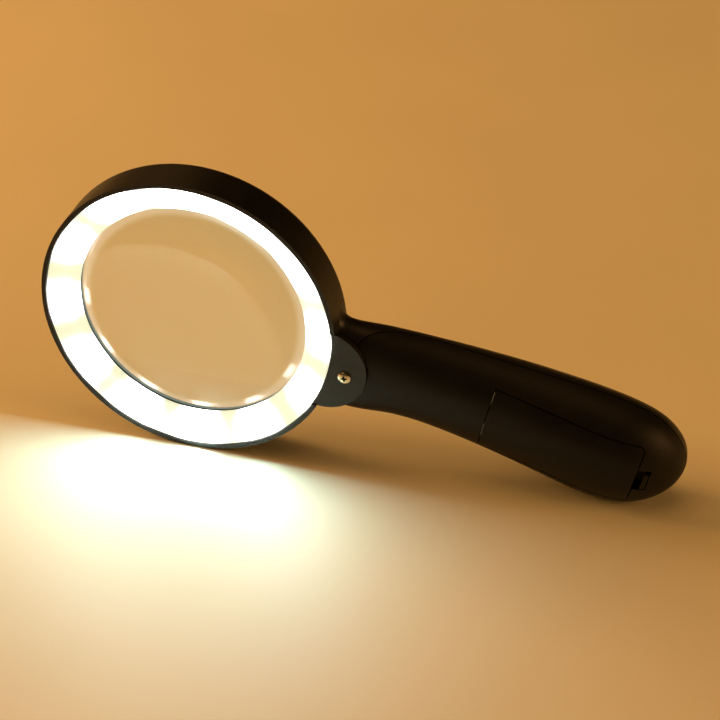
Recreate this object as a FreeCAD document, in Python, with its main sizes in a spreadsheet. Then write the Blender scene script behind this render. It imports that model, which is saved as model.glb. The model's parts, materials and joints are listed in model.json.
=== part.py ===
import FreeCAD, Part
import math
import os
import re
from functools import lru_cache

import Sketcher
from FreeCAD import Placement, Rotation, Vector

# Illuminated hand magnifier, standing on the wall of its ring and on the butt of its handle.
# Every piece is drawn in the magnifier's own frame: the ring's centre is the origin, the lens
# axis is Y ("depth", with the lit side towards -Y and the rim's front face at 0), and the
# handle runs "along" +X. The stand placement then tips the handle down on to the floor.

doc = FreeCAD.newDocument("magnifier")
sheet = doc.addObject("Spreadsheet::Sheet", "Sizes")

SIZES = {
    # ring housing
    "ring_radius": 52.0, "rim_width": 1.6, "ring_depth": 16.0, "ring_back_round": 3.0,
    "ring_floor": 1.6, "seat_radius": 40.5, "pocket_wall": 1.8, "fit_gap": 0.3,
    "flare_radius": 46.0, "flare_wall": 1.2,
    # lens: two equal domes inside a flat flange
    "lens_radius": 42.0, "lens_edge": 2.2, "lens_front": 7.2, "dome_radius": 185.0,
    "dome_edge": 40.3,
    # light ring
    "diffuser_inner": 40.2, "diffuser_front": 0.2, "diffuser_dish": 5.0, "diffuser_wall": 1.6,
    "skirt_end": 6.2, "skirt_wall": 1.0, "tray_inner": 42.5, "tray_wall": 0.8,
    "frame_back": 8.4, "frame_floor": 1.0, "frame_top": 2.3, "board_thick": 1.0,
    "led_circle": 45.2, "led_count": 12, "led_long": 3.5, "led_wide": 2.8, "led_tall": 1.0,
    # tongue of the light frame, and the screw through it
    "tongue_centre": 48.3, "tongue_radius": 15.2, "tongue_top": 1.2, "tongue_thick": 2.0,
    "tongue_gap": 0.25, "tongue_screw_along": 56.2,
    # handle shells: the parting surface runs at one depth, then curves forward to the neck
    "shell_wall": 2.2, "parting": 18.0, "parting_along": 84.0, "parting_arc": 33.4,
    "groove_wide": 0.5, "groove_deep": 0.45, "dome_start": 138.0,
    # battery bay and its door
    "door_start": 104.4, "door_end": 157.4, "door_half": 12.0, "door_gap": 0.4,
    "door_skin": 2.0, "door_corner": 2.5, "hook_half": 2.0,
    "rail_wide": 1.6, "rail_thick": 1.2,
    "notch_end": 161.5, "notch_half": 4.1, "latch_low": -3.8, "latch_high": 2.3,
    "latch_thick": 1.2, "latch_pad": 1.6,
    "bay_end": 152.6, "bay_wall": 1.4, "bay_front": 9.6,
    "cell_radius": 5.25, "cell_long": 44.5, "cell_nub": 1.0, "cell_nub_radius": 1.9,
    "cell_depth": 13.2, "cell_pitch": 10.8, "contact_thick": 0.4, "spring_long": 2.4,
    # slide switch on the back of the handle
    "switch_along": 84.0, "switch_travel": 4.0, "switch_pad": 27.4, "pad_thick": 2.2,
    "knob_long": 11.0, "knob_wide": 8.0, "knob_tall": 2.2,
    "recess_half": 9.0, "slot_half": 4.1, "slot_across": 1.8, "pocket_half": 7.4,
    "pocket_across": 3.6, "case_deep": 5.0, "case_half": 4.6, "ear_half": 7.0,
    "case_across": 2.9, "ear_screw_at": 5.9,
    # fasteners and leads
    "screw_seat": 22.4, "boss_radius": 3.2, "post_radius": 2.8, "pilot_radius": 0.9,
    "screw_hole": 1.3, "head_hole": 2.7, "neck_post_front": 6.6, "butt_post_front": 10.4,
    "head_radius": 2.2, "head_tall": 1.1, "shank_radius": 1.1,
    "neck_screw_along": 70.0, "butt_screw_along": 164.4, "lead_radius": 0.6,
}
for row, (alias, value) in enumerate(SIZES.items(), start=1):
    sheet.set(f"A{row}", alias)
    sheet.set(f"B{row}", str(value))
    sheet.setAlias(f"B{row}", alias)

# Sections of the handle: distance along it, half width, depth of its front face, depth of
# its back face, and squareness (2 is an ellipse, more is squarer).
STATION_FIELDS = ("along", "half", "front", "back", "square")
STATIONS = [
    (43.0, 24.0, 2.0, 15.4, 2.5),
    (48.0, 20.0, 2.0, 16.1, 2.5),
    (49.5, 18.0, 2.0, 16.35, 2.5),
    (51.0, 17.0, 2.0, 16.7, 2.5),
    (53.5, 16.5, 2.05, 17.4, 2.5),
    (58.0, 16.4, 2.2, 19.1, 2.5),
    (65.0, 16.2, 2.9, 22.2, 2.4),
    (74.0, 15.7, 4.2, 25.8, 2.2),
    (88.0, 15.9, 4.9, 29.0, 2.1),
    (104.0, 16.8, 4.6, 30.8, 2.1),
    (122.0, 17.9, 3.2, 31.8, 2.1),
    (138.0, 18.8, 1.6, 31.8, 2.1),
    (150.0, 18.4, 1.7, 31.4, 2.1),
    (158.5, 16.5, 3.9, 30.6, 2.1),
    (164.8, 13.0, 7.4, 28.9, 2.1),
    (168.8, 9.0, 11.4, 26.4, 2.1),
    (171.0, 4.8, 15.0, 23.4, 2.0),
    (171.8, 1.2, 18.4, 20.4, 2.0),
]
for number, station in enumerate(STATIONS, start=1):
    for column, field, value in zip("DEFGH", STATION_FIELDS, station):
        sheet.set(f"{column}{number}", str(value))
        sheet.setAlias(f"{column}{number}", f"{field}_at_{number}")
doc.recompute()

REACH = 90.0          # half size of the blocks that only cut or clip
HOLLOW_FROM = 7       # station at which the handle starts to be hollow
nodes = []


def size(alias):
    return float(sheet.get(alias))


def bind(obj, **expressions):
    """Tie properties of an object to expressions made of the sheet's aliases."""
    for name, text in expressions.items():
        obj.setExpression(name.replace("__", "."), re.sub(r"[a-z]+_[a-z_]+", r"Sizes.\g<0>", text))
    return obj


def keep(obj, label):
    """Name a finished sub-part and list it for writing."""
    obj.Label = label
    nodes.append(obj)
    return obj


# ---------------------------------------------------------------- parametric pieces

def block(along, depth, across, long, deep, wide):
    """Box from its low corner and its three sizes, each an expression."""
    obj = doc.addObject("Part::Box", "Block")
    return bind(obj, Placement__Base__x=along, Placement__Base__y=depth, Placement__Base__z=across,
                Length=long, Width=deep, Height=wide)


def rod(along, depth, across, radius, deep):
    """Cylinder along the lens axis."""
    obj = doc.addObject("Part::Cylinder", "Rod")
    obj.Placement = Placement(Vector(), Rotation(Vector(1, 0, 0), -90))
    return bind(obj, Placement__Base__x=along, Placement__Base__y=depth, Placement__Base__z=across,
                Radius=radius, Height=deep)


def cut(base, tool):
    obj = doc.addObject("Part::Cut", "Cut")
    obj.Base, obj.Tool = base, tool
    return obj


def fuse(*shapes):
    obj = doc.addObject("Part::MultiFuse", "Fusion")
    obj.Shapes = list(shapes)
    return obj


def group(shapes):
    obj = doc.addObject("Part::Compound", "Group")
    obj.Links = list(shapes)
    return obj


def swung(obj, degrees):
    """The object swung about the lens axis."""
    holder = doc.addObject("Part::Compound", "Swung")
    holder.Links = [obj]
    holder.Placement = Placement(Vector(), Rotation(Vector(0, 1, 0), degrees))
    return holder


def turned(points):
    """Body turned about the lens axis from an outline of (radius, depth) expressions."""
    body = doc.addObject("PartDesign::Body", "Turned")
    sketch = body.newObject("Sketcher::SketchObject", "Outline")
    plane = next(f for f in body.Origin.OriginFeatures if f.Role == "XY_Plane")
    sketch.AttachmentSupport = (plane, [""])
    sketch.MapMode = "FlatFace"
    corners = [Vector(*(float(sheet.evalExpression(text)) for text in point)) for point in points]
    count = len(corners)
    for i in range(count):
        sketch.addGeometry(Part.LineSegment(corners[i], corners[(i + 1) % count]))
    for i in range(count):
        sketch.addConstraint(Sketcher.Constraint("Coincident", i, 2, (i + 1) % count, 1))
    for i, (radius, depth) in enumerate(points):
        across = sketch.addConstraint(Sketcher.Constraint("DistanceX", -1, 1, i, 1, corners[i].x))
        up = sketch.addConstraint(Sketcher.Constraint("DistanceY", -1, 1, i, 1, corners[i].y))
        bind(sketch, **{f"Constraints[{across}]": radius, f"Constraints[{up}]": depth})
    turn = body.newObject("PartDesign::Revolution", "Turn")
    turn.Profile = sketch
    turn.ReferenceAxis = (sketch, ["V_Axis"])
    turn.Angle = 360
    return body


def screw(along, across, head_depth, radius, head, length, facing=1):
    """Pan-head screw with a cross recess; facing -1 turns its head towards the back."""
    top = head_depth if facing > 0 else f"{head_depth} - {head}"
    shank_from = f"{head_depth} + {head} - 0.01" if facing > 0 else f"{head_depth} - {head} - {length}"
    body = fuse(rod(along, top, across, radius, head),
                rod(along, shank_from, across, f"{radius} * 0.45", f"{length} + 0.01"))
    slot_from = top if facing > 0 else f"{head_depth} - {head} * 0.6"
    recess = fuse(
        block(f"{along} - {radius} * 0.6", slot_from, f"{across} - {radius} * 0.12",
              f"{radius} * 1.2", f"{head} * 0.6", f"{radius} * 0.24"),
        block(f"{along} - {radius} * 0.12", slot_from, f"{across} - {radius} * 0.6",
              f"{radius} * 0.24", f"{head} * 0.6", f"{radius} * 1.2"))
    return cut(body, recess)


# ---------------------------------------------------------------- free-form handle

def shape_node(shape, label):
    """Sub-part whose shape comes from Part's own functions."""
    solid = shape.Solids[0] if len(shape.Solids) == 1 else shape
    obj = doc.addObject("Part::Feature", label)
    obj.Shape = solid
    return keep(obj, label)


def box(along, depth, across):
    """Clipping box from three (low, high) pairs."""
    low = Vector(along[0], depth[0], across[0])
    return Part.makeBox(along[1] - along[0], depth[1] - depth[0], across[1] - across[0], low)


def pin(along, depth, across, radius):
    """Cylinder along the lens axis from one depth to another."""
    return Part.makeCylinder(radius, depth[1] - depth[0], Vector(along, depth[0], across),
                             Vector(0, 1, 0))


def section(along, half, front, back, square):
    """Closed superelliptic curve across the handle."""
    middle, thick = (front + back) / 2, (back - front) / 2
    points = []
    for i in range(24):
        turn = 2 * math.pi * (i + 0.5) / 24
        c, s = math.cos(turn), math.sin(turn)
        points.append(Vector(along,
                             middle + thick * math.copysign(abs(s) ** (2 / square), s),
                             half * math.copysign(abs(c) ** (2 / square), c)))
    curve = Part.BSplineCurve()
    curve.interpolate(Points=points, PeriodicFlag=True)
    return Part.Wire([curve.toShape()])


@lru_cache(maxsize=None)
def handle_loft(inset, first=1):
    """The handle's outer form, or the same form drawn inwards by inset."""
    dome_from, dome_to = size("dome_start"), size(f"along_at_{len(STATIONS)}")
    wires = []
    for number in range(first, len(STATIONS) + 1):
        along, half, front, back, square = (size(f"{f}_at_{number}") for f in STATION_FIELDS)
        if half - inset < 1.0:
            break
        dome = min(1.0, max(0.0, (along - dome_from) / (dome_to - dome_from)))
        wires.append(section(along - inset * dome, half - inset, front + inset, back - inset, square))
    return Part.makeLoft(wires, True, False)


def front_zone(step=0.0):
    """Everything in front of the surface that parts the two handle shells, less a step."""
    along, centre = size("parting_along"), size("parting") - size("parting_arc")
    radius = size("parting_arc") - step
    depth = centre + radius
    start = Vector(along, depth, -REACH)
    end = Vector(along - radius, centre, -REACH)
    bend = Vector(along - radius * math.sqrt(0.5), centre + radius * math.sqrt(0.5), -REACH)
    corners = [end, Vector(end.x, -REACH, -REACH), Vector(2 * REACH, -REACH, -REACH),
               Vector(2 * REACH, depth, -REACH), start]
    edges = [Part.Arc(start, bend, end).toShape(), *Part.makePolygon(corners).Edges]
    return Part.Face(Part.Wire(edges)).extrude(Vector(0, 0, 2 * REACH))


def ring_housing():
    """Ring with its thin front rim, floor, lens seat, flared bore and rounded back edge."""
    outer, rim, back = size("ring_radius"), size("rim_width"), size("ring_depth")
    bore, pocket = size("seat_radius"), size("lens_radius") + size("fit_gap")
    seat = size("lens_front") + size("lens_edge")
    lip, floor = size("frame_back") + 0.05, back - size("ring_floor")
    flare, wall = size("flare_radius"), size("pocket_wall")
    outline = [(outer, 0), (outer, back), (flare, back), (bore, seat + 0.8), (bore, seat),
               (pocket, seat), (pocket, lip), (pocket + wall, lip), (pocket + wall, seat + 0.6),
               (flare + size("flare_wall"), floor), (outer - rim, floor), (outer - rim, 0), (outer, 0)]
    face = Part.Face(Part.makePolygon([Vector(radius, depth, 0) for radius, depth in outline]))
    ring = face.revolve(Vector(), Vector(0, 1, 0), 360)
    rear = [e for e in ring.Edges if e.BoundBox.YMin > back - 0.01 and e.BoundBox.XMax > outer - 0.01]
    return ring.makeFillet(size("ring_back_round"), rear)


def rounded_opening(gap):
    """The door's outline through the front shell, drawn in by a gap."""
    half = size("door_half") - gap
    opening = box((size("door_start") + gap, size("door_end") - gap), (-REACH, size("parting") - 3),
                  (-half, half))
    corners = [e for e in opening.Edges if e.BoundBox.XMin > size("door_end") - gap - 0.01
               and e.BoundBox.YLength > 1]
    return opening.makeFillet(size("door_corner") - gap, corners)


outer_form = handle_loft(0)
cavity = handle_loft(size("shell_wall"), first=HOLLOW_FROM)
overlap_form = handle_loft(size("shell_wall") - 0.2, first=HOLLOW_FROM)
in_front = front_zone()
tongue_recess = pin(size("tongue_centre"), (-REACH, size("tongue_top") + size("tongue_thick")), 0,
                    size("tongue_radius") + size("tongue_gap"))
cell_axes = [(size("cell_depth"), -size("cell_pitch") / 2), (size("cell_depth"), size("cell_pitch") / 2),
             (size("cell_depth") + size("cell_pitch") * math.sqrt(0.75), 0.0)]
bay = (size("door_start"), size("bay_end"))
wall = size("bay_wall")
lead_channel = box((95, 150), (17.5, 22.5), (-12.0, -9.2))    # beside the cells
lead_slot = box((47.2, 68.0), (10.2, 14.8), (-6.4, 6.4))      # from the ring into the handle
# distance of each handle screw along the handle, and where its pilot hole starts
screw_places = {size("neck_screw_along"): size("neck_post_front"),
                size("butt_screw_along"): size("butt_post_front")}


def bay_bulkhead(start):
    """End wall of the battery bay, grown from the back shell and clear of the front one."""
    slab = (start, start + wall)
    side = (-REACH, REACH)
    clear = handle_loft(round(size("shell_wall") + 0.4, 3), first=HOLLOW_FROM)
    front_part = clear.common(box(slab, (size("bay_front"), size("parting") + 1), side))
    return front_part.fuse(overlap_form.common(box(slab, (size("parting"), REACH), side)))


def cell_saddle(along):
    """Rib across the back shell, hollowed for the cells."""
    rib = overlap_form.common(box((along, along + wall), (size("parting"), REACH), (-REACH, REACH)))
    for depth, across in cell_axes:
        rib = rib.cut(Part.makeCylinder(size("cell_radius") + 0.25, 4 * wall,
                                        Vector(along - wall, depth, across), Vector(1, 0, 0)))
    return rib


def make_rear_body():
    ring = ring_housing()
    neck = outer_form.cut(in_front).cut(pin(0, (-REACH, REACH), 0, size("ring_radius") - 0.8))
    body = neck.cut(cavity).fuse(ring)
    inside = overlap_form.cut(in_front)
    for along in screw_places:
        body = body.fuse(inside.common(pin(along, (size("parting") - 6, REACH), 0, size("boss_radius"))))
    pad, thick, recess_half = size("switch_pad"), size("pad_thick"), size("recess_half")
    middle = size("switch_along") + size("switch_travel") / 2
    recess_along = (middle - recess_half, middle + recess_half)
    body = body.fuse(outer_form.common(box(recess_along, (pad - thick, REACH),
                                           (-recess_half, recess_half))))
    for start in (bay[0] - wall, bay[1]):
        body = body.fuse(bay_bulkhead(start).cut(lead_channel))
    for along in (bay[0] + 12, bay[1] - 14):
        body = body.fuse(cell_saddle(along).cut(lead_channel))
    # recess, slot and pocket of the slide switch
    half = size("knob_wide") / 2 + 1.2
    recess = box(recess_along, (pad, REACH), (-half, half))
    corners = [e for e in recess.Edges if e.BoundBox.YLength > 1]
    body = body.cut(recess.makeFillet(half - 0.4, corners))
    for half_long, half_wide, depths in (
            (size("slot_half"), size("slot_across"), (pad - size("case_deep"), REACH)),
            (size("pocket_half"), size("pocket_across"), (size("parting"), pad - thick))):
        body = body.cut(box((middle - half_long, middle + half_long), depths, (-half_wide, half_wide)))
    # tongue recess, lead slot from the ring to the cavity, and screw holes
    body = body.cut(tongue_recess)
    body = body.cut(lead_slot)
    body = body.cut(pin(size("tongue_screw_along"), (0, 9.4), 0, size("pilot_radius")))
    for along in screw_places:
        body = body.cut(pin(along, (0, REACH), 0, size("screw_hole")))
        body = body.cut(pin(along, (size("screw_seat"), REACH), 0, size("head_hole")))
    return body


def make_front_shell():
    shell = outer_form.common(in_front).cut(cavity)
    groove = in_front.cut(front_zone(size("groove_wide"))).cut(handle_loft(size("groove_deep")))
    shell = shell.cut(groove)
    half, thick = size("door_half"), size("rail_thick")
    deep = handle_loft(size("shell_wall") + thick, first=HOLLOW_FROM)
    span, depths = (bay[0] + 3.0, bay[1]), (-REACH, size("parting") - 1.0)
    for side in (-1, 1):
        inner, edge, outer = (side * v for v in (half - size("rail_wide"), half, half + 2.0))
        under_door = box(span, depths, (min(inner, edge), max(inner, edge)))
        under_wall = box(span, depths, (min(edge, outer), max(edge, outer)))
        rail = cavity.common(under_door).fuse(overlap_form.common(under_wall)).cut(deep)
        shell = shell.fuse(rail)
    for along, front in screw_places.items():
        post = outer_form.common(in_front).common(pin(along, (0, REACH), 0, size("post_radius")))
        shell = shell.fuse(post).cut(pin(along, (front, REACH), 0, size("pilot_radius")))
    shell = shell.cut(rounded_opening(0))
    notch = size("notch_half")
    shell = shell.cut(box((size("door_end") - 3, size("notch_end")), (-REACH, 11), (-notch, notch)))
    shell = shell.cut(tongue_recess)
    shell = shell.cut(pin(size("tongue_screw_along"), (0, REACH), 0, size("screw_hole")))
    return shell


def make_door():
    inside = handle_loft(size("door_skin"), first=HOLLOW_FROM)
    skin = outer_form.common(rounded_opening(size("door_gap"))).cut(inside)
    start, end = size("door_start") + size("door_gap"), size("door_end") - size("door_gap")
    hook_half, thick = size("hook_half"), size("latch_thick")
    across = (size("latch_low"), size("latch_high"))
    hook = box((start - 2.4, start + 2.4), (7.1, 8.3), (-hook_half, hook_half))
    hook_root = box((start, start + 2.4), (5.4, 8.3), (-hook_half, hook_half))
    tip = size("notch_end") - 0.3
    legs = [box((end - thick, end), (3.4, 9.6), across),
            box((end - thick, tip), (9.6 - thick, 9.6), across),
            box((tip - thick, tip), (-REACH, 9.6), across),
            box((tip - size("latch_pad"), tip), (-REACH, 5.8), across)]
    latch = legs[0].fuse(legs[1:])
    flush = handle_loft(0.1)
    door = skin.fuse([hook, hook_root, latch.common(flush)])
    return door


shape_node(make_rear_body(), "rear_body")
shape_node(make_front_shell(), "handle_front_shell")
shape_node(make_door(), "battery_door")


# ---------------------------------------------------------------- ring: light, frame and lens

sag = "(dome_radius - sqrt(dome_radius ^ 2 - dome_edge ^ 2))"
domes = doc.addObject("Part::MultiCommon", "Domes")
front_dome = bind(doc.addObject("Part::Sphere", "FrontDome"), Radius="dome_radius",
                  Placement__Base__y=f"lens_front - {sag} + dome_radius")
back_dome = bind(doc.addObject("Part::Sphere", "BackDome"), Radius="dome_radius",
                 Placement__Base__y=f"lens_front + lens_edge + {sag} - dome_radius")
clear_part = rod("0", "0", "0", "dome_edge", "lens_front * 2 + lens_edge")
domes.Shapes = [front_dome, back_dome, clear_part]
keep(fuse(domes, rod("0", "lens_front", "0", "lens_radius", "lens_edge")), "lens")

keep(turned([
    ("seat_radius", "skirt_end"), ("lens_radius", "skirt_end"),
    ("lens_radius", "lens_front"), ("seat_radius", "lens_front"),
]), "lens_gasket")

light_radius = "ring_radius - rim_width - 0.3"
keep(turned([
    (light_radius, "diffuser_front"), ("diffuser_inner", "diffuser_dish"),
    ("diffuser_inner", "skirt_end"), ("diffuser_inner + skirt_wall", "skirt_end"),
    ("diffuser_inner + skirt_wall", "diffuser_dish + diffuser_wall - 0.5"),
    (f"{light_radius} - 1.2", "diffuser_front + diffuser_wall + 0.3"),
    (light_radius, "diffuser_front + diffuser_wall + 0.4"),
]), "diffuser_ring")

tray = turned([
    (light_radius, "frame_top"), (light_radius, "frame_back"), ("tray_inner", "frame_back"),
    ("tray_inner", "frame_back - frame_floor - 1.1"),
    ("tray_inner + tray_wall", "frame_back - frame_floor - 1.1"),
    ("tray_inner + tray_wall", "frame_back - frame_floor"),
    (f"{light_radius} - 1.0", "frame_back - frame_floor"), (f"{light_radius} - 1.0", "frame_top"),
])
tongue = cut(
    cut(rod("tongue_centre", "tongue_top", "0", "tongue_radius", "tongue_thick"),
        rod("0", "0", "0", f"{light_radius} + 0.15", "frame_top")),
    rod("0", "0", "0", f"{light_radius} - 1.0", "frame_back"))
frame = cut(fuse(tray, tongue), rod("tongue_screw_along", "0", "0", "shank_radius + 0.15", "frame_back"))
keep(cut(frame, rod("led_circle + 1.6", "frame_back - frame_floor - 1", "0", "1.9", "3")), "light_frame")

board = turned([
    ("tray_inner + tray_wall + 0.1", "frame_back - frame_floor - board_thick"),
    (f"{light_radius} - 1.2", "frame_back - frame_floor - board_thick"),
    (f"{light_radius} - 1.2", "frame_back - frame_floor"),
    ("tray_inner + tray_wall + 0.1", "frame_back - frame_floor"),
])
keep(board, "led_board")

board_top = "frame_back - frame_floor - board_thick"
leds = []
for number in range(int(size("led_count"))):
    led = block("led_circle - led_wide / 2", f"{board_top} - led_tall", "-led_long / 2",
                "led_wide", "led_tall", "led_long")
    leds.append(swung(led, 360 / size("led_count") * (number + 0.5)))
keep(group(leds), "leds")

resistors = []
for degrees in (60, 180, 300):
    chip = block("led_circle - 0.65", f"{board_top} - 0.6", "-1.0", "1.3", "0.6", "2.0")
    resistors.append(swung(chip, degrees))
keep(group(resistors), "resistors")

board_screws = []
for degrees in (30 * 1, 30 * 5, 30 * 9):
    board_screws.append(swung(screw("led_circle", "0", f"{board_top} - 0.8", "1.5", "0.8", "1.9"), degrees))
keep(group(board_screws), "board_screws")

# ---------------------------------------------------------------- fasteners of the handle

keep(screw("tongue_screw_along", "0", "tongue_top - head_tall", "head_radius", "head_tall", "7.6"),
     "tongue_screw")
keep(group([screw(along, "0", "screw_seat + head_tall", "head_radius", "head_tall", "9", facing=-1)
            for along in ("neck_screw_along", "butt_screw_along")]), "handle_screws")

# ---------------------------------------------------------------- slide switch

pad = "switch_pad"
under_pad = "switch_pad - pad_thick"
mid = "switch_along + switch_travel / 2"

knob_base = block("switch_along - knob_long / 2", f"{pad} + 0.3", "-knob_wide / 2",
                  "knob_long", "knob_tall - 0.6", "knob_wide")
ridges = [block(f"switch_along - 4.1 + {1.8 * i}", f"{pad} + 0.3", "-knob_wide / 2 + 0.6",
                "0.9", "knob_tall", "knob_wide - 1.2") for i in range(5)]
stem = block("switch_along - 1.5", f"{pad} - 4.0", "-1.4", "3.0", "4.4", "2.8")
knob_round = doc.addObject("Part::Fillet", "KnobRound")
knob_round.Base = knob_base
doc.recompute()
knob_round.Edges = [(i, 2.5, 2.5) for i, e in enumerate(knob_base.Shape.Edges, start=1)
                    if e.BoundBox.YLength > 1]
keep(fuse(knob_round, stem, *ridges), "switch_knob")

keep(group([block("switch_along - 1.8", f"{under_pad} - 3.6", "-1.9", "3.6", "1.8", "3.8")]),
     "switch_slider")

case = fuse(block(f"{mid} - case_half", f"{under_pad} - case_deep", "-case_across",
                  "case_half * 2", "case_deep - 0.05", "case_across * 2"),
            block(f"{mid} - ear_half", f"{under_pad} - 0.55", "-case_across",
                  "ear_half * 2", "0.5", "case_across * 2"))
hollow = block(f"{mid} - 4.0", f"{under_pad} - 3.9", "-2.1", "8.0", "4.4", "4.2")
ear_holes = [rod(f"{mid} + ear_screw_at * {side}", f"{under_pad} - 1", "0", "0.75", "2")
             for side in (-1, 1)]
keep(cut(cut(case, hollow), fuse(*ear_holes)), "switch_case")

keep(group([screw(f"{mid} + ear_screw_at * {side}", "0", f"{under_pad} - 1.15", "1.2", "0.6", "2.2")
            for side in (-1, 1)]), "switch_screws")

# ---------------------------------------------------------------- cells, contacts and springs

bay_start, bay_stop = "door_start + contact_thick", "bay_end - contact_thick"
rear_row = "cell_depth + cell_pitch * 0.866"
cell_rows = [("cell_depth", "-cell_pitch / 2"), ("cell_depth", "cell_pitch / 2"), (rear_row, "0")]
for number, (depth, across) in enumerate(cell_rows, start=1):
    nub_to_neck = number != 2
    body_from = f"{bay_start} + 0.1 + cell_nub" if nub_to_neck else f"{bay_start} + spring_long + 0.4"
    nub_from = f"{bay_start} + 0.1" if nub_to_neck else f"{body_from} + cell_long - cell_nub"
    parts = []
    for start, radius, long in ((body_from, "cell_radius", "cell_long - cell_nub"),
                                (nub_from, "cell_nub_radius", "cell_nub")):
        barrel = doc.addObject("Part::Cylinder", "Barrel")
        barrel.Placement = Placement(Vector(), Rotation(Vector(0, 1, 0), 90))
        parts.append(bind(barrel, Placement__Base__x=start, Placement__Base__y=depth,
                          Placement__Base__z=across, Radius=radius, Height=long))
    keep(fuse(*parts), f"battery_{number}")

thin, low = "contact_thick", "cell_depth - 3.4"
keep(group([
    block("door_start", low, "-9.2", thin, "6.6", "18.4"),
    fuse(block(bay_stop, low, "1.0", thin, "6.6", "8.2"),
         block(bay_stop, f"{low} + 6.0", "-3.6", thin, "9.6", "8.0")),
]), "link_contacts")
keep(group([
    block("door_start", f"{low} + 8.2", "-3.6", thin, "8.0", "7.2"),
    block(bay_stop, low, "-9.2", thin, "5.7", "8.2"),
]), "terminal_contacts")


def contact_spring(plate, depth, across, step):
    """Spring of closed coils on a post, standing on a contact plate and reaching step by step."""
    coils = []
    wire, coil, pitch = "0.28", "0.95", 0.8
    for turn in range(3):
        ring = doc.addObject("Part::Torus", "Coil")
        ring.Placement = Placement(Vector(), Rotation(Vector(0, 1, 0), 90))
        coils.append(bind(ring, Placement__Base__x=f"{plate} + {step * (0.3 + pitch * turn)}",
                          Placement__Base__y=depth, Placement__Base__z=across,
                          Radius1=coil, Radius2=wire))
    post = doc.addObject("Part::Cylinder", "Post")
    post.Placement = Placement(Vector(), Rotation(Vector(0, 1, 0), 90 * step))
    coils.append(bind(post, Placement__Base__x=plate, Placement__Base__y=f"{depth} + {coil}",
                      Placement__Base__z=across, Radius="0.2", Height="spring_long - 0.5"))
    return fuse(*coils)


springs = []
for number, (depth, across) in enumerate(cell_rows, start=1):
    to_neck = number == 2
    springs.append(contact_spring(bay_start if to_neck else bay_stop, depth, across,
                                  1 if to_neck else -1))
keep(group(springs), "battery_springs")

# ---------------------------------------------------------------- leads


def routed_lead(points, label):
    """Round lead along straight runs joined by arcs that touch both runs."""
    corners = [Vector(*point) for point in points]
    edges, at = [], corners[0]
    for before, corner, after in zip(corners, corners[1:], corners[2:]):
        back, ahead = (before - corner), (after - corner)
        reach = 0.45 * min(back.Length, ahead.Length)
        back.normalize()
        ahead.normalize()
        enter, leave = corner + back * reach, corner + ahead * reach
        radius = reach * math.tan(back.getAngle(ahead) / 2)
        centre = corner + (back + ahead).normalize() * math.hypot(radius, reach)
        middle = centre + (corner - centre).normalize() * radius
        edges += [Part.makeLine(at, enter), Part.Arc(enter, middle, leave).toShape()]
        at = leave
    edges.append(Part.makeLine(at, corners[-1]))
    path = Part.Wire(edges)
    start = corners[0]
    profile = Part.Wire(Part.makeCircle(size("lead_radius"), start, corners[1] - start))
    return shape_node(path.makePipeShell([profile], True, True), label)


board_back = size("frame_back") - size("frame_floor") + 0.05
routed_lead([(46.8, board_back, 0.9), (46.8, 11.6, 0.9), (58.0, 11.9, 2.4), (64.0, 13.2, 5.0),
             (72.0, 16.0, 5.6), (78.0, 16.6, 4.4), (82.4, 17.0, 1.8), (82.6, 20.2, 1.5)], "lead_red")
routed_lead([(46.8, board_back, -0.9), (46.8, 11.6, -0.9), (58.0, 11.9, -2.4), (66.0, 13.4, -5.0),
             (76.0, 14.4, -7.2), (88.0, 13.4, -6.6), (97.0, 15.6, -4.6), (102.1, 20.8, -1.9)],
            "lead_black")
routed_lead([(87.4, 20.2, -1.5), (87.6, 17.2, -2.0), (90.6, 17.4, -5.8), (96.0, 19.0, -8.8),
             (106.0, 20.4, -10.8),
             (127.0, 19.8, -10.4), (147.6, 19.6, -10.6), (151.6, 16.2, -8.4)], "lead_switch")

# ---------------------------------------------------------------- stand, check and write

doc.recompute()


def resting_tilt():
    """Tilt at which the butt reaches the floor that the ring's wall stands on."""
    low, high = 5.0, 25.0
    while high - low > 0.001:
        tilt = (low + high) / 2
        tipped = outer_form.copy()
        tipped.rotate(Vector(), Vector(0, 1, 0), tilt)
        if tipped.optimalBoundingBox(False, False).ZMin < -size("ring_radius"):
            high = tilt
        else:
            low = tilt
    return low


tilt = resting_tilt()
stand = Placement(Vector(), Rotation(Vector(0, 1, 0), tilt))
extent = FreeCAD.BoundBox()
for obj in nodes:
    tipped = obj.Shape.copy()
    tipped.Placement = stand.multiply(tipped.Placement)
    extent.add(tipped.optimalBoundingBox(False, False))
stand.Base = Vector(-extent.Center.x, -extent.Center.y, size("ring_radius"))
print("tilt", round(tilt, 3), "shift", stand.Base)
for obj in nodes:
    obj.Placement = stand.multiply(obj.Placement)
doc.recompute()

for obj in doc.Objects:
    if {"Invalid", "Error"} & set(obj.State):
        raise RuntimeError(f"{obj.Name} ({obj.Label}) failed: {obj.State}")
for obj in nodes:
    if obj.Shape.isNull() or not obj.Shape.isValid():
        raise RuntimeError(f"{obj.Label} has no valid shape")

os.makedirs("parts", exist_ok=True)
for obj in nodes:
    obj.Shape.exportStep(f"parts/{obj.Label}.step")
    print(f"{obj.Label:20s} solids {len(obj.Shape.Solids):2d}  volume {obj.Shape.Volume:9.1f}")
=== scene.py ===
import json
import math

import bmesh
import bpy
from mathutils import Matrix, Vector


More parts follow.
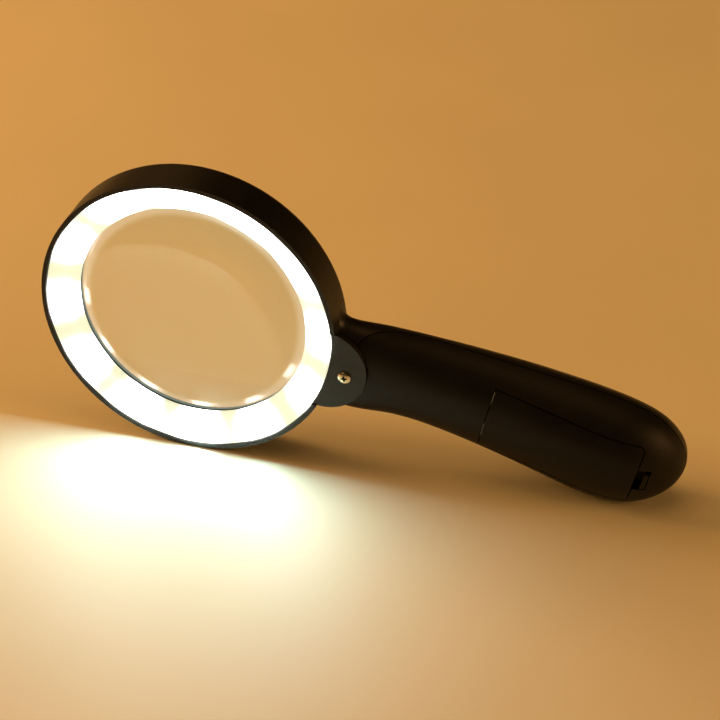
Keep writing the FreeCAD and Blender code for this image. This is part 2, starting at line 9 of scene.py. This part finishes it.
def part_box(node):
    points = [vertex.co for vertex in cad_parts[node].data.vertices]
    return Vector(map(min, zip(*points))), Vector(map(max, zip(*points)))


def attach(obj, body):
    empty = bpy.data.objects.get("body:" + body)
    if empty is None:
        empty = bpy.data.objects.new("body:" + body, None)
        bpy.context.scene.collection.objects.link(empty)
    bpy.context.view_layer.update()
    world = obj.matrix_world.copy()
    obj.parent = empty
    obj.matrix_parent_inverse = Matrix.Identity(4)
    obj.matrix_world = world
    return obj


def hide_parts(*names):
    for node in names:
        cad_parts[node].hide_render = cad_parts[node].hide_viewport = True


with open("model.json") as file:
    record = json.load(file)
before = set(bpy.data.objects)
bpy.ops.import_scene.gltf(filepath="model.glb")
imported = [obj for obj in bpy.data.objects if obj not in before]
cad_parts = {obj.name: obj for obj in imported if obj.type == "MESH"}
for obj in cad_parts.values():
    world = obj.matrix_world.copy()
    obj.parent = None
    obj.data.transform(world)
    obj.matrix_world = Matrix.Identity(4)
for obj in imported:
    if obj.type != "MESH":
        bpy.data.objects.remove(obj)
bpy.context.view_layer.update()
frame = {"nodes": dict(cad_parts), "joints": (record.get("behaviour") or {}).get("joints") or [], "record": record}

MM = 0.001
NODES = frame["nodes"]
JOINTS = {joint["name"]: joint for joint in frame["joints"]}

# The magnifier's own frame, in millimetres: the ring's centre is the origin, the lens axis is
# Y with the lit side towards -Y, the rim's front face is at 0 and the handle runs along +X.
along_axis = Vector(JOINTS["switch_slide"]["axis"])
TILT = math.atan2(-along_axis.z, along_axis.x)
lens_low, lens_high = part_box("lens")
RING_CENTRE = Vector(((lens_low.x + lens_high.x) / 2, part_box("rear_body")[0].y,
                      (lens_low.z + lens_high.z) / 2))
HOME = Matrix.Translation(RING_CENTRE) @ Matrix.Rotation(TILT, 4, "Y") @ Matrix.Scale(MM, 4)
EMITTERS = 12
FIRST_EMITTER = math.radians(15)
EMITTER_CIRCLE = 45.2


def own_box(node, start=-math.inf, stop=math.inf):
    """Low and high corner of a CAD node between two places along its own frame's X axis."""
    inverse = HOME.inverted()
    points = [inverse @ vertex.co for vertex in NODES[node].data.vertices]
    points = [point for point in points if start < point.x < stop]
    low = Vector([min(point[i] for point in points) for i in range(3)])
    high = Vector([max(point[i] for point in points) for i in range(3)])
    return low, high


# the finishes below take the places of the plain ones that came with the frame
for node in NODES.values():
    node.data.materials.clear()
for plain in list(bpy.data.materials):
    bpy.data.materials.remove(plain)


# ---------------------------------------------------------------- materials

class Surface:
    """A Principled material with helpers for procedural detail in the magnifier's own frame."""

    def __init__(self, name, colour, roughness, **sockets):
        self.mat = bpy.data.materials.new(name)
        self.mat.use_nodes = True
        self.nodes, self.links = self.mat.node_tree.nodes, self.mat.node_tree.links
        self.shader = self.nodes["Principled BSDF"]
        self.shader.inputs["Base Color"].default_value = (*colour, 1)
        self.shader.inputs["Roughness"].default_value = roughness
        for label, value in sockets.items():
            self.shader.inputs[label.replace("_", " ")].default_value = value
        self.place = self.nodes.new("ShaderNodeTexCoord").outputs["Object"]
        self.height = None

    def link(self, source, target):
        self.links.new(source, target)

    def maths(self, operation, a, b=0.0, clamp=False):
        node = self.nodes.new("ShaderNodeMath")
        node.operation, node.use_clamp = operation, clamp
        for socket, value in zip(node.inputs, (a, b)):
            if isinstance(value, (int, float)):
                socket.default_value = value
            else:
                self.link(value, socket)
        return node.outputs[0]

    def noise(self, grain, detail=3.0, stretch=(1, 1, 1), rough=0.55):
        """Noise whose features are about `grain` millimetres."""
        mapping = self.nodes.new("ShaderNodeMapping")
        mapping.inputs["Rotation"].default_value = (0, -TILT, 0)
        mapping.inputs["Scale"].default_value = stretch
        self.link(self.place, mapping.inputs["Vector"])
        node = self.nodes.new("ShaderNodeTexNoise")
        node.inputs["Scale"].default_value = 1 / (grain * MM)
        node.inputs["Detail"].default_value = detail
        node.inputs["Roughness"].default_value = rough
        self.link(mapping.outputs[0], node.inputs["Vector"])
        return node.outputs[0]

    def spread(self, value, low, high, to_low, to_high, smooth=True):
        node = self.nodes.new("ShaderNodeMapRange")
        node.interpolation_type = "SMOOTHSTEP" if smooth else "LINEAR"
        for socket, number in zip(node.inputs[1:5], (low, high, to_low, to_high)):
            socket.default_value = number
        self.link(value, node.inputs[0])
        return node.outputs[0]

    def mix(self, factor, first, second):
        node = self.nodes.new("ShaderNodeMix")
        node.data_type = "RGBA"
        self.link(factor, node.inputs["Factor"])
        for socket, value in ((node.inputs[6], first), (node.inputs[7], second)):
            if isinstance(value, tuple):
                socket.default_value = (*value, 1)
            else:
                self.link(value, socket)
        return node.outputs[2]

    def colour(self, socket):
        self.link(socket, self.shader.inputs["Base Color"])
        return self

    def rough(self, socket):
        self.link(socket, self.shader.inputs["Roughness"])
        return self

    def bump(self, value, depth, strength=1.0):
        """Adds a relief of `depth` millimetres."""
        node = self.nodes.new("ShaderNodeBump")
        node.inputs["Strength"].default_value = strength
        node.inputs["Distance"].default_value = depth * MM
        self.link(value, node.inputs["Height"])
        if self.height is not None:
            self.link(self.height, node.inputs["Normal"])
        self.height = node.outputs[0]
        self.link(self.height, self.shader.inputs["Normal"])
        return self


def moulded_plastic(name, dark, pale, rough_low, rough_high, grain=0.35, relief=0.012):
    """Satin moulded plastic: eroded grain, faint flow shading, rubbing and hairline scuffs."""
    s = Surface(name, dark, rough_low, IOR=1.5)
    cloudy, fine = s.noise(22, 3), s.noise(grain, 2)
    scuff = s.noise(5, 2, (0.12, 1.0, 2.6), 0.5)
    hairline = s.spread(scuff, 0.60, 0.68, 0.0, 1.0)
    shading = s.maths("ADD", s.maths("MULTIPLY", cloudy, 0.7), s.maths("MULTIPLY", fine, 0.3))
    s.colour(s.mix(s.spread(shading, 0.35, 0.7, 0, 1), dark, pale))
    base = s.spread(cloudy, 0.3, 0.7, rough_low, rough_high)
    s.rough(s.maths("ADD", base, s.maths("MULTIPLY", hairline, 0.06)))
    s.bump(fine, relief)
    s.bump(s.noise(9, 2), 0.02, 0.5)
    return s


def metal(name, colour, tint, roughness, brush=0.4):
    """Plated metal with drawn lines and slight patches of tint."""
    s = Surface(name, colour, roughness, Metallic=1.0)
    patch, drawn = s.noise(1.6, 3), s.noise(brush, 2, (1, 6, 1))
    s.colour(s.mix(s.spread(patch, 0.35, 0.7, 0, 1), colour, tint))
    s.rough(s.spread(drawn, 0.3, 0.75, roughness * 0.75, roughness * 1.35))
    s.bump(drawn, 0.004, 0.6)
    return s


def ring_place(s):
    """Sockets with the angle round the ring, the radius from its centre and the depth."""
    mapping = s.nodes.new("ShaderNodeMapping")
    mapping.vector_type = "TEXTURE"
    mapping.inputs["Location"].default_value = RING_CENTRE
    mapping.inputs["Rotation"].default_value = (0, TILT, 0)
    s.link(s.place, mapping.inputs["Vector"])
    parts = s.nodes.new("ShaderNodeSeparateXYZ")
    s.link(mapping.outputs[0], parts.inputs[0])
    across, along = parts.outputs["Z"], parts.outputs["X"]
    squares = s.maths("ADD", s.maths("POWER", along, 2), s.maths("POWER", across, 2))
    return s.maths("ARCTAN2", across, along), s.maths("SQRT", squares), parts.outputs["Y"]


def emitter_wave(s, angle):
    """1 over each emitter and -1 midway between two."""
    from_first = s.maths("SUBTRACT", angle, FIRST_EMITTER)
    return s.maths("COSINE", s.maths("MULTIPLY", from_first, EMITTERS))


def lit_plastic():
    """Milky cover lit from inside: bright over each emitter, dimmer and greener between two."""
    s = Surface("milky_plastic", (0.5, 0.5, 0.46), 0.42, IOR=1.5)
    angle, radius, _ = ring_place(s)
    wave = emitter_wave(s, angle)
    uneven = s.maths("MULTIPLY", s.maths("SUBTRACT", s.noise(9, 2), 0.5), 0.5)
    sideways = s.maths("MULTIPLY", s.maths("COSINE", s.maths("MULTIPLY", angle, 2)), 0.25)
    upward = s.maths("MULTIPLY", s.maths("SINE", angle), 0.2)
    inward = s.spread(radius, 40 * MM, 44 * MM, 0.35, 0.0)
    level = s.maths("ADD", s.maths("SUBTRACT", s.maths("ADD", wave, uneven), inward),
                    s.maths("SUBTRACT", upward, sideways))
    lit = s.spread(level, -1.3, 0.35, 0, 1)
    s.link(s.mix(s.spread(lit, 0, 0.16, 0, 1), (0.95, 0.98, 0.68), (1.0, 0.995, 0.93)),
           s.shader.inputs["Emission Color"])
    strength = s.maths("MULTIPLY", s.maths("POWER", GLOW / DIM, lit), DIM)
    s.link(strength, s.shader.inputs["Emission Strength"])
    s.rough(s.spread(s.noise(0.6, 3), 0.3, 0.7, 0.36, 0.5))
    s.bump(s.noise(0.25, 2), 0.006)
    return s


def acrylic_with_painted_glow():
    """Clear lens with painted light: a faint painted glow over its front face, a painted glowing ring near its
    rim, and painted glints of the emitters on its lower half.
    """
    s = Surface("lens_acrylic", (0.985, 0.99, 0.975), 0.0, IOR=1.49, Transmission_Weight=1.0)
    angle, radius, depth = ring_place(s)
    front = s.spread(depth, 8.0 * MM, 8.4 * MM, 1, 0)
    # painted glow in a ring near the rim of the front face
    painted_rim_glow = s.maths("MULTIPLY", s.spread(radius, 35.8 * MM, 38.6 * MM, 0, 1), front)
    # painted glints of the emitters: one over each, in a narrow ring, on the lower half only
    spot = s.spread(emitter_wave(s, angle), 0.25, 1.0, 0, 1)
    painted_glint_ring = s.maths("MULTIPLY", s.spread(radius, 36.6 * MM, 38.0 * MM, 0, 1),
                        s.spread(radius, 38.6 * MM, 39.8 * MM, 1, 0))
    lower = s.spread(s.maths("SINE", angle), -0.25, 0.25, 1, 0)
    painted_glint = s.maths("MULTIPLY", s.maths("MULTIPLY", spot, painted_glint_ring),
                    s.maths("MULTIPLY", front, lower))
    edge = s.maths("ADD", s.maths("MULTIPLY", painted_rim_glow, 0.14), s.maths("MULTIPLY", painted_glint, 0.8))
    # painted glow over the whole front face
    painted_veil = s.maths("MULTIPLY", front, 0.068)
    s.link(s.maths("ADD", edge, painted_veil), s.shader.inputs["Emission Strength"])
    # greenish white colour of the painted glow and glints
    s.link(s.mix(s.maths("MULTIPLY", edge, 6.0, clamp=True), (0.62, 1.0, 0.60), (0.86, 1.0, 0.86)),
           s.shader.inputs["Emission Color"])
    film = s.spread(s.noise(14, 3), 0.45, 0.75, 0.0, 0.02)
    s.rough(s.maths("ADD", film, s.maths("MULTIPLY", painted_rim_glow, 0.12)))
    return s


# strength of the cover over an emitter and between two
GLOW, DIM = 7.0, 0.72

# name, dark and pale colour, least and most roughness, then grain and relief in millimetres
PLASTICS = [
    ("black_plastic", (0.0045, 0.0040, 0.0036), (0.0078, 0.0070, 0.0063), 0.36, 0.44),
    # darker, duller copy of the black plastic: the lower shine is its finish, the darker colour is painted shade
    # over the front shell and door
    ("grained_plastic", (0.0036, 0.0032, 0.0029), (0.0062, 0.0056, 0.0050), 0.42, 0.50),
    ("gasket_rubber", (0.012, 0.012, 0.011), (0.02, 0.02, 0.018), 0.6, 0.75),
    ("board_laminate", (0.75, 0.76, 0.72), (0.62, 0.64, 0.58), 0.35, 0.5),
    ("resistor_ceramic", (0.02, 0.02, 0.022), (0.035, 0.035, 0.04), 0.3, 0.45),
    ("white_plastic", (0.72, 0.71, 0.66), (0.62, 0.61, 0.57), 0.35, 0.5),
    ("cell_wrap", (0.035, 0.12, 0.075), (0.05, 0.15, 0.09), 0.22, 0.32, 0.2, 0.004),
    ("cell_band", (0.42, 0.27, 0.09), (0.48, 0.32, 0.12), 0.2, 0.3, 0.2, 0.004),
    ("red_insulation", (0.42, 0.02, 0.015), (0.34, 0.016, 0.012), 0.4, 0.5),
    ("black_insulation", (0.014, 0.014, 0.014), (0.02, 0.02, 0.02), 0.4, 0.5)]
# name, colour, tint and roughness
METALS = [
    ("plated_steel", (0.62, 0.60, 0.57), (0.50, 0.48, 0.45), 0.28),
    ("yellow_zinc_steel", (0.78, 0.66, 0.42), (0.66, 0.60, 0.46), 0.26),
    # near-black finish for the cross recesses: it paints the shade in them
    ("recess_painted_shade", (0.035, 0.028, 0.018), (0.05, 0.04, 0.028), 0.5),
    ("spring_steel", (0.66, 0.64, 0.60), (0.55, 0.53, 0.50), 0.24)]
FINISHES = {plastic[0]: moulded_plastic(*plastic) for plastic in PLASTICS}
FINISHES.update({plated[0]: metal(*plated) for plated in METALS})
# the lens finish paints a glow and glints of the emitters into the glass
FINISHES["lens_acrylic"] = acrylic_with_painted_glow()
FINISHES["milky_plastic"] = lit_plastic()
FINISHES["led_phosphor"] = Surface("led_phosphor", (0.85, 0.72, 0.22), 0.35)
FINISHES["led_phosphor"].bump(FINISHES["led_phosphor"].noise(0.2, 2), 0.01)
for name, shine in (("black_plastic", 0.36), ("grained_plastic", 0.24)):
    FINISHES[name].shader.inputs["Specular IOR Level"].default_value = shine

# the front shell and door take the darker copy, whose colour paints shade over them
PAINTED_SHADE_NODES = ("handle_front_shell", "battery_door")
NODE_SLOT = {subpart["node"]: subpart["material_slot"] for subpart in frame["record"]["subparts"]}
for name, node in NODES.items():
    finish = "grained_plastic" if name in PAINTED_SHADE_NODES else NODE_SLOT[name]
    node.data.materials.append(FINISHES[finish].mat)


# ---------------------------------------------------------------- mesh helpers

def outward(mesh):
    """Turns every face of a closed mesh outwards."""
    bm = bmesh.new()
    bm.from_mesh(mesh)
    bmesh.ops.recalc_face_normals(bm, faces=bm.faces)
    bm.to_mesh(mesh)
    bm.free()


def piece(name, verts, faces, finishes, body, nodes, smooth=40.0, face_finish=None):
    """New piece in the magnifier's own frame that stands for CAD nodes and rides on a body."""
    mesh = bpy.data.meshes.new(name)
    mesh.from_pydata([HOME @ Vector(vertex) for vertex in verts], [], faces)
    mesh.validate()
    outward(mesh)
    for finish in finishes:
        mesh.materials.append(FINISHES[finish].mat)
    if face_finish:
        mesh.polygons.foreach_set("material_index", face_finish)
    obj = bpy.data.objects.new(name, mesh)
    bpy.context.collection.objects.link(obj)
    mesh.shade_smooth()
    mesh.set_sharp_from_angle(angle=math.radians(smooth))
    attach(obj, body)
    if nodes:
        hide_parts(*nodes)
    return obj


def softened(outline, radius, steps=4):
    """Closed outline with each corner rounded, never by more than its shorter side allows."""
    rounded = []
    count = len(outline)
    for i, corner in enumerate(outline):
        corner = Vector(corner)
        before, after = Vector(outline[i - 1]) - corner, Vector(outline[(i + 1) % count]) - corner
        reach = min(radius, 0.45 * before.length, 0.45 * after.length)
        enter, leave = corner + before.normalized() * reach, corner + after.normalized() * reach
        for step in range(steps + 1):
            t = step / steps
            point = enter.lerp(corner, t).lerp(corner.lerp(leave, t), t)
            rounded.append((point.x, point.y))
    return rounded


def swept(sections, closed_path=False):
    """Vertices and faces that join equal closed sections, capped unless the path closes."""
    verts, faces = [], []
    count = len(sections[0])
    for ring in sections:
        verts += ring
    rings = len(sections)
    for i in range(rings if closed_path else rings - 1):
        here, there = i * count, (i + 1) % rings * count
        for j in range(count):
            k = (j + 1) % count
            faces.append((here + j, here + k, there + k, there + j))
    if not closed_path:
        faces.append(tuple(range(count))[::-1])
        faces.append(tuple(range((rings - 1) * count, rings * count)))
    return verts, faces


def lathed(outline, steps=192):
    """Ring turned about the lens axis from a closed outline of (radius, depth)."""
    sections = []
    for step in range(steps):
        angle = 2 * math.pi * step / steps
        c, s = math.cos(angle), math.sin(angle)
        sections.append([(radius * c, depth, radius * s) for radius, depth in outline])
    return swept(sections, closed_path=True)


def spun(profile, place, axis, steps=48):
    """Closed round body from a profile of (radius, distance) along an axis, with two poles."""
    axis = Vector(axis).normalized()
    side = axis.orthogonal().normalized()
    other = axis.cross(side)
    verts, faces = [Vector(place) + axis * profile[0][1]], []
    for radius, distance in profile[1:-1]:
        for step in range(steps):
            angle = 2 * math.pi * step / steps
            verts.append(Vector(place) + axis * distance
                         + (side * math.cos(angle) + other * math.sin(angle)) * radius)
    verts.append(Vector(place) + axis * profile[-1][1])
    last = len(verts) - 1
    for step in range(steps):
        following = (step + 1) % steps
        faces.append((0, 1 + following, 1 + step))
        for row in range(len(profile) - 3):
            low, high = 1 + row * steps, 1 + (row + 1) * steps
            faces.append((low + step, low + following, high + following, high + step))
        high = 1 + (len(profile) - 3) * steps
        faces.append((last, high + step, high + following))
    return verts, faces


def joined(*parts):
    """One set of vertices and faces from several."""
    verts, faces = [], []
    for part_verts, part_faces in parts:
        faces += [tuple(index + len(verts) for index in face) for face in part_faces]
        verts += part_verts
    return verts, faces


def tube(points, radius, sides=12):
    """Round tube through points, with flat ends."""
    points = [Vector(point) for point in points]
    normal = (points[1] - points[0]).orthogonal().normalized()
    sections = []
    for i, point in enumerate(points):
        tangent = (points[min(i + 1, len(points) - 1)] - points[max(i - 1, 0)]).normalized()
        normal = (normal - tangent * normal.dot(tangent)).normalized()
        other = tangent.cross(normal)
        sections.append([point + (normal * math.cos(a) + other * math.sin(a)) * radius
                         for a in (2 * math.pi * j / sides for j in range(sides))])
    return swept(sections)


def carved(obj, cutter_verts, cutter_faces):
    """Takes a cutter away from a piece; the cut faces take the dark recess finish, which paints the shade in the
    hollow.
    """
    mesh = bpy.data.meshes.new("cutter")
    mesh.from_pydata([HOME @ Vector(vertex) for vertex in cutter_verts], [], cutter_faces)
    outward(mesh)
    mesh.materials.append(FINISHES["recess_painted_shade"].mat)
    cutter = bpy.data.objects.new("cutter", mesh)
    bpy.context.collection.objects.link(cutter)
    boolean = obj.modifiers.new("carve", "BOOLEAN")
    boolean.object, boolean.operation, boolean.solver = cutter, "DIFFERENCE", "EXACT"
    boolean.material_mode = "TRANSFER"
    shaped = obj.evaluated_get(bpy.context.evaluated_depsgraph_get())
    result = bpy.data.meshes.new_from_object(shaped)
    obj.modifiers.clear()
    obj.data = result
    result.set_sharp_from_angle(angle=math.radians(35))
    bpy.data.objects.remove(cutter)


# ---------------------------------------------------------------- lens, cover and screws

lens_low, lens_high = own_box("lens")
flange = own_box("lens_gasket")[1].y
thick_edge = (lens_low.y + lens_high.y) - 2 * flange
clear_radius, edge_radius = 40.3, lens_high.x
dome_height = flange - lens_low.y
dome_radius = (clear_radius ** 2 + dome_height ** 2) / (2 * dome_height)


def dome(direction, apex, rows=40):
    """Profile of one lens face from its apex outwards."""
    profile = []
    for row in range(rows + 1):
        radius = clear_radius * math.sin(math.pi / 2 * row / rows)
        rise = dome_radius - math.sqrt(dome_radius ** 2 - radius ** 2)
        profile.append((radius, apex + direction * rise))
    return profile


edge_back = flange + thick_edge
rim_chamfer = 0.25
rim = [(edge_radius - rim_chamfer, flange), (edge_radius, flange + rim_chamfer),
       (edge_radius, edge_back - rim_chamfer), (edge_radius - rim_chamfer, edge_back)]
lens_profile = dome(1, lens_low.y) + rim + dome(-1, lens_high.y)[::-1]
piece("lens_clear", *spun(lens_profile, (0, 0, 0), (0, 1, 0), 192), ["lens_acrylic"], "magnifier",
      ["lens"], smooth=8)

cover_low, cover_high = own_box("diffuser_ring")
cover_outer, cover_inner, dish, wall = cover_high.x, 40.2, 5.0, 1.6
cover_outline = softened([
    (cover_outer, cover_low.y), (cover_inner, dish), (cover_inner, cover_high.y),
    (cover_inner + 1.0, cover_high.y), (cover_inner + 1.0, dish + wall - 0.5),
    (cover_outer - 1.2, cover_low.y + wall + 0.3), (cover_outer, cover_low.y + wall + 0.3)], 0.35)
piece("diffuser_cover", *lathed(cover_outline, 240), ["milky_plastic"], "magnifier",
      ["diffuser_ring"], smooth=50)
HEAD_TALL, SHANK_RADIUS = 1.1, 0.99


def pan_screw(name, place, axis, head_radius, tall, finish, nodes):
    """Pan head screw with a cross recess and a ridged shank; the axis leads in from its crown."""
    head_tall, shank_radius, length = HEAD_TALL, SHANK_RADIUS, tall - HEAD_TALL
    crown = [(0, 0)]
    for step in range(1, 9):
        swing = math.pi / 2 * step / 8
        crown.append((head_radius * (0.55 * math.sin(swing) + 0.45 * step / 8),
                      head_tall * 0.62 * (1 - math.cos(swing)) ** 0.9))
    profile = crown + [(head_radius, head_tall * 0.80), (head_radius * 0.97, head_tall),
                       (shank_radius, head_tall)]
    pitch, along = shank_radius * 0.75, head_tall + 0.25
    while along + pitch < head_tall + length - shank_radius:
        profile += [(shank_radius, along), (shank_radius * 0.78, along + pitch * 0.5)]
        along += pitch
    profile += [(shank_radius * 0.8, along), (shank_radius * 0.2, head_tall + length - 0.05),
                (0, head_tall + length)]
    obj = piece(name, *spun(profile, place, axis, 48), [finish], "magnifier", nodes)
    axis = Vector(axis).normalized()
    side = axis.orthogonal().normalized()
    side = (side + axis.cross(side) * 0.45).normalized()
    other = axis.cross(side)
    reach, depth, half = head_radius * 0.62, head_tall * 0.75, head_radius * 0.15
    for long, wide in ((side, other), (other, side)):
        corners = []
        for level, scale in ((-head_tall * 0.4, 1.12), (depth, 0.5)):
            for a, b in ((1, 1), (-1, 1), (-1, -1), (1, -1)):
                corners.append(Vector(place) + axis * level + long * reach * scale * a
                               + wide * half * (scale + 0.25) * b)
        # the cross recess takes the dark finish that paints its shade
        carved(obj, corners, [(3, 2, 1, 0), (4, 5, 6, 7), (0, 1, 5, 4), (1, 2, 6, 5),
                              (2, 3, 7, 6), (3, 0, 4, 7)])


low, high = own_box("tongue_screw")
pan_screw("tongue_screw_head", ((low.x + high.x) / 2, low.y, (low.z + high.z) / 2), (0, 1, 0),
          (high.x - low.x) / 2, high.y - low.y, "yellow_zinc_steel", ["tongue_screw"])
for name, start, stop in (("handle_screw_neck", 60, 110), ("handle_screw_butt", 110, 180)):
    low, high = own_box("handle_screws", start, stop)
    pan_screw(name, ((low.x + high.x) / 2, high.y, 0), (0, -1, 0), (high.z - low.z) / 2,
              high.y - low.y, "plated_steel", ["handle_screws"])

# ---------------------------------------------------------------- cells and springs

COIL_TURNS, COIL_STEPS, COIL_RADIUS, WIRE_RADIUS = 3, 20, 0.95, 0.26
COIL_START, COIL_TALL = 0.3, 1.6
NUB, WRAP_MARGIN, BAND_SHARE = 1.0, 0.35, 0.30
WRAP, BARE, BAND = 0, 1, 2
spring_low, spring_high = own_box("battery_springs")
springs = []
for number, nub_side in ((1, -1), (2, 1), (3, -1)):
    low, high = own_box(f"battery_{number}")
    middle = (low + high) / 2
    radius, long = (high.y - low.y) / 2, high.x - low.x
    nub_end = low.x if nub_side < 0 else high.x
    wrap_start, wrap_stop, band_stop = NUB + WRAP_MARGIN, long - WRAP_MARGIN, long * BAND_SHARE
    cell = [(0, 0), (1.5, 0), (1.9, 0.3), (1.9, NUB), (3.4, NUB), (3.7, NUB + 0.12),
            (4.6, NUB + 0.12), (radius - 0.25, wrap_start - 0.2), (radius, wrap_start + 0.2),
            (radius, band_stop), (radius, band_stop + 0.3), (radius, wrap_stop - 0.3),
            (radius - 0.25, wrap_stop), (radius - 0.7, long - 0.2), (3.4, long - 0.2),
            (3.1, long), (0, long)]
    verts, faces = spun(cell, (nub_end, middle.y, middle.z), (-nub_side, 0, 0), 64)
    finish_of = []
    for face in faces:
        reach = sum(abs(verts[index].x - nub_end) for index in face) / len(face)
        out = max((Vector((0, verts[index].y - middle.y, verts[index].z - middle.z)).length)
                  for index in face)
        bare = reach < NUB + 0.2 and out < radius - 0.2 or reach > long - 0.25
        finish_of.append(BARE if bare else BAND if reach < band_stop else WRAP)
    piece(f"cell_{number}", verts, faces, ["cell_wrap", "plated_steel", "cell_band"], "magnifier",
          [f"battery_{number}"], 30, finish_of)
    plate = spring_low.x if nub_side > 0 else spring_high.x
    coil, last = [], COIL_TURNS * COIL_STEPS
    for step in range(last + 1):
        turn = 2 * math.pi * step / COIL_STEPS
        coil.append((plate + nub_side * (COIL_START + COIL_TALL * step / last),
                     middle.y + COIL_RADIUS * math.cos(turn),
                     middle.z + COIL_RADIUS * math.sin(turn)))
    springs.append(tube(coil, WIRE_RADIUS, 10))
piece("contact_coils", *joined(*springs), ["spring_steel"], "magnifier", ["battery_springs"], 60)

# ---------------------------------------------------------------- stage, light and camera

FLOOR_HALF = 6.0
PAPER, PAPER_SHADE = (0.80, 0.74, 0.56), (0.77, 0.71, 0.535)
floor_mesh = bpy.data.meshes.new("floor")
floor_corners = [(a * FLOOR_HALF, b * FLOOR_HALF, 0)
                 for a, b in ((-1, -1), (1, -1), (1, 1), (-1, 1))]
floor_mesh.from_pydata(floor_corners, [], [(0, 1, 2, 3)])
floor = bpy.data.objects.new("floor", floor_mesh)
bpy.context.collection.objects.link(floor)
paper = Surface("pale_paper", PAPER, 0.55)
paper.colour(paper.mix(paper.spread(paper.noise(120, 2), 0.3, 0.7, 0, 1), PAPER, PAPER_SHADE))
paper.bump(paper.noise(0.8, 2), 0.01, 0.4)
floor_mesh.materials.append(paper.mat)


def area_light(name, place, aim, width, power, colour, shape="SQUARE"):
    data = bpy.data.lights.new(name, "AREA")
    data.shape, data.size, data.energy, data.color = shape, width, power, colour
    lamp = bpy.data.objects.new(name, data)
    lamp.location = place
    lamp.rotation_mode = "QUATERNION"
    lamp.rotation_quaternion = (Vector(aim) - Vector(place)).to_track_quat("-Z", "Y")
    bpy.context.collection.objects.link(lamp)
    return lamp


WARM, COOL = (1.0, 0.51, 0.16), (0.55, 0.94, 1.0)
RING_POWER, RING_LAMP, RING_LAMP_DEPTH = 0.0140, 0.009, -0.6
AIM = (0, 0, 0.03)
for name, place, width, power in (("soft_left", (-1.5, 0.1, 0.6), 0.8, 27),
                                  ("soft_right", (1.5, -0.1, 0.6), 0.8, 9),
                                  ("soft_top", (0.0, 0.1, 2.0), 1.5, 5),
                                  ("soft_front", (-1.0, -1.0, 1.4), 1.0, 4),
                                  ("soft_back", (-1.1, 1.0, 1.6), 1.6, 4.5)):
    area_light(name, place, AIM, width, power, WARM)
# the light that the ring gives out, one lamp in front of each emitter
for number in range(EMITTERS):
    swing = FIRST_EMITTER + 2 * math.pi / EMITTERS * number
    spot = HOME @ Vector((EMITTER_CIRCLE * math.cos(swing), RING_LAMP_DEPTH,
                          EMITTER_CIRCLE * math.sin(swing)))
    lamp = area_light(f"ring_light_{number + 1}", spot, spot + Vector((0, -1, 0)), RING_LAMP,
                      RING_POWER, COOL, "DISK")
    lamp.visible_camera = False

world = bpy.data.worlds.new("studio")
bpy.context.scene.world = world
world.use_nodes = True
world.node_tree.nodes["Background"].inputs["Color"].default_value = (*WARM, 1)
world.node_tree.nodes["Background"].inputs["Strength"].default_value = 0.02

camera_data = bpy.data.cameras.new("camera")
camera_data.lens, camera_data.sensor_width = 110, 36
camera_data.clip_start = 0.02
camera = bpy.data.objects.new("camera", camera_data)
azimuth, elevation = math.radians(16.74), math.radians(34.84)
camera_back = Vector((math.sin(azimuth) * math.cos(elevation),
                      -math.cos(azimuth) * math.cos(elevation), math.sin(elevation)))
camera.location = (0.1730, -0.5824, 0.4601)
camera.rotation_mode = "QUATERNION"
camera.rotation_quaternion = camera_back.to_track_quat("Z", "Y")
bpy.context.collection.objects.link(camera)
bpy.context.scene.camera = camera
bpy.context.scene.view_settings.view_transform = "Standard"
